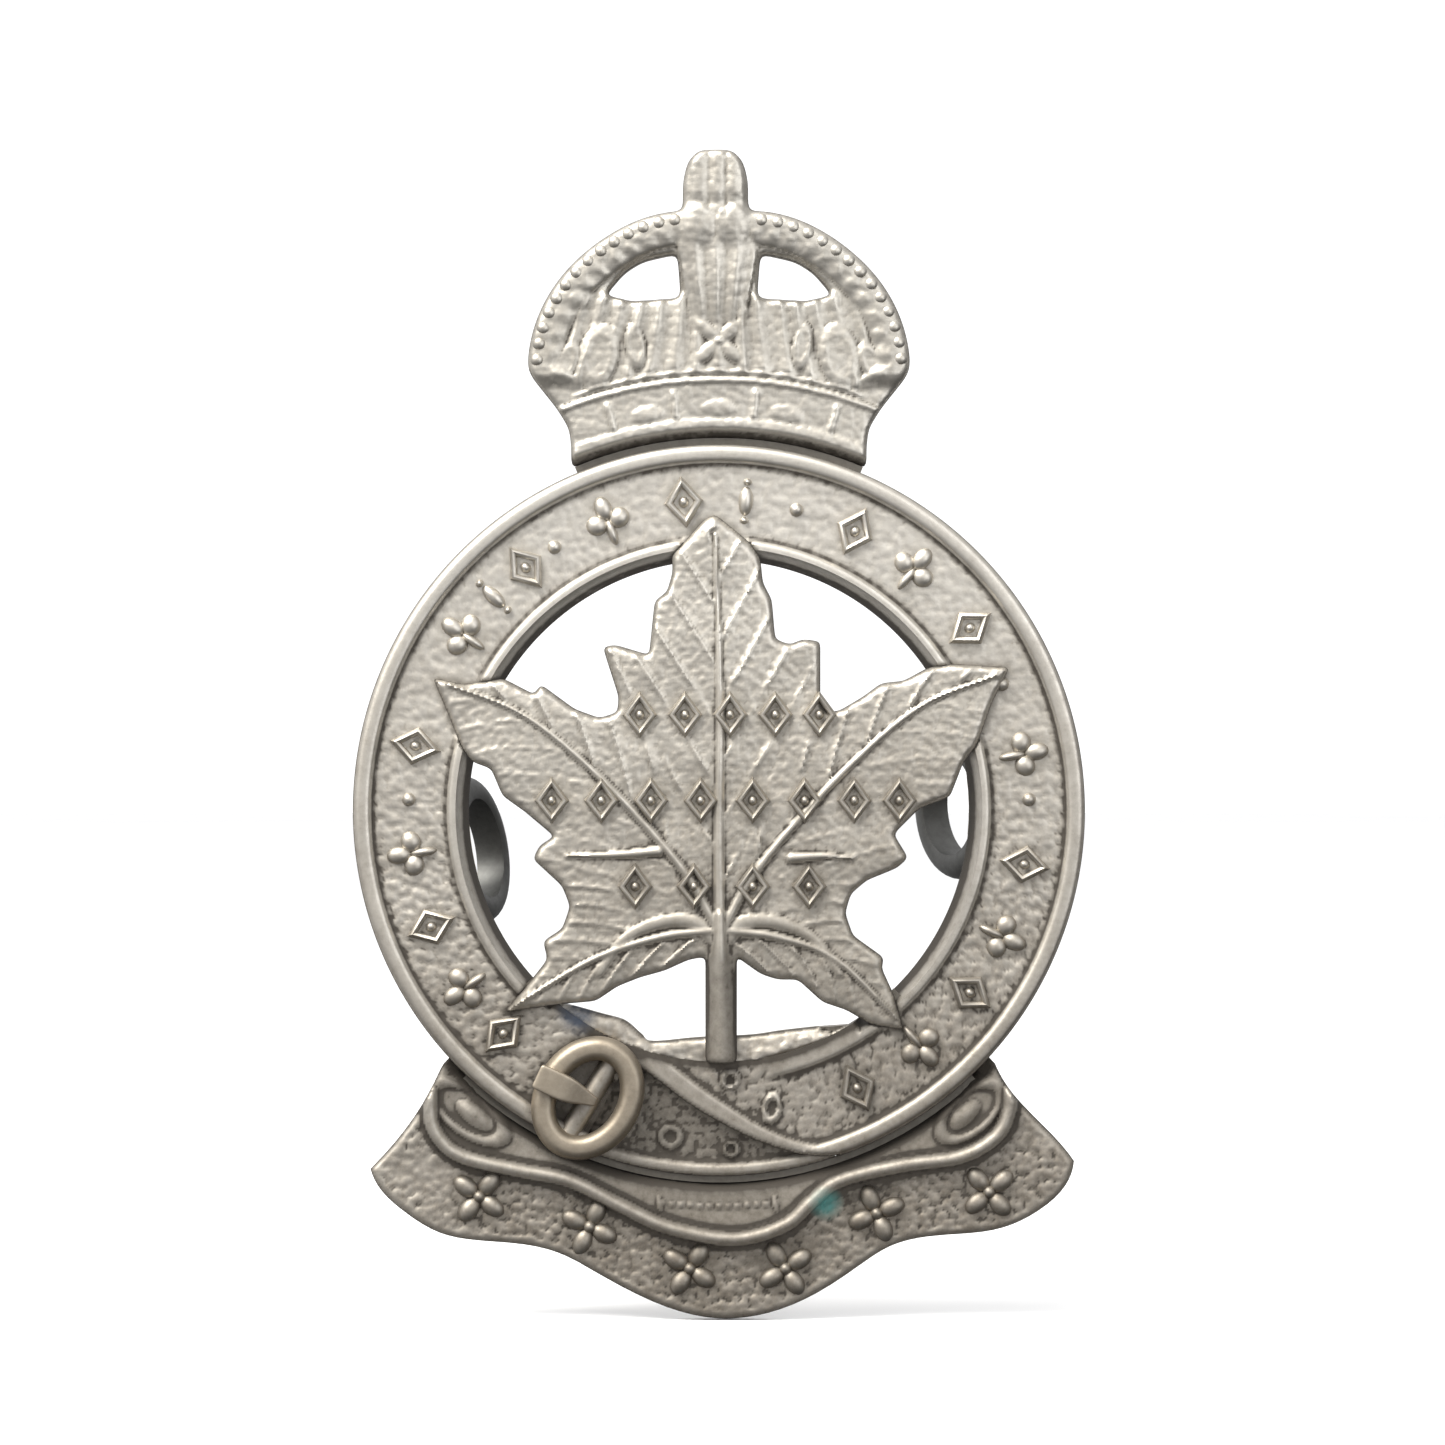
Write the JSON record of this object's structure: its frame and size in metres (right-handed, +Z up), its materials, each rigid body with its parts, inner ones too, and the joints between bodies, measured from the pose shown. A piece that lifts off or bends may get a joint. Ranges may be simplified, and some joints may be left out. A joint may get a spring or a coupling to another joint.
{
  "type": "cap badge",
  "caption": "Struck metal cap badge: a crown on a buckled garter ring with a maple leaf and a blank scroll, and wire lugs behind.",
  "frame": {"origin": "centre of the garter ring on its flat back plane, on the row's own lug_pair mount", "axes": "+Z up to the crown, +Y out of the back along the lugs, so the front faces -Y; +X to the right seen from the front"},
  "size_m": [0.0324, 0.0086, 0.0519],
  "materials": {
    "struck_white_metal": "worn satin nickel silver, dark in the recesses",
    "buckle_metal": "duller nickel silver",
    "soft_solder": "dull soft solder",
    "lug_wire": "drawn nickel silver wire, tarnished",
    "braze": "dull silver braze"
  },
  "bodies": {
    "root": {"garter_strap": "struck_white_metal", "strap_tail": "struck_white_metal", "buckle_frame": "buckle_metal", "buckle_tongue": "buckle_metal", "maple_leaf": "struck_white_metal", "leaf_solder": "soft_solder", "crown": "struck_white_metal", "crown_solder": "soft_solder", "title_scroll": "struck_white_metal", "scroll_solder": "soft_solder", "lug_left": "lug_wire", "lug_right": "lug_wire", "lug_brazing": "braze"}
  },
  "joints": []
}
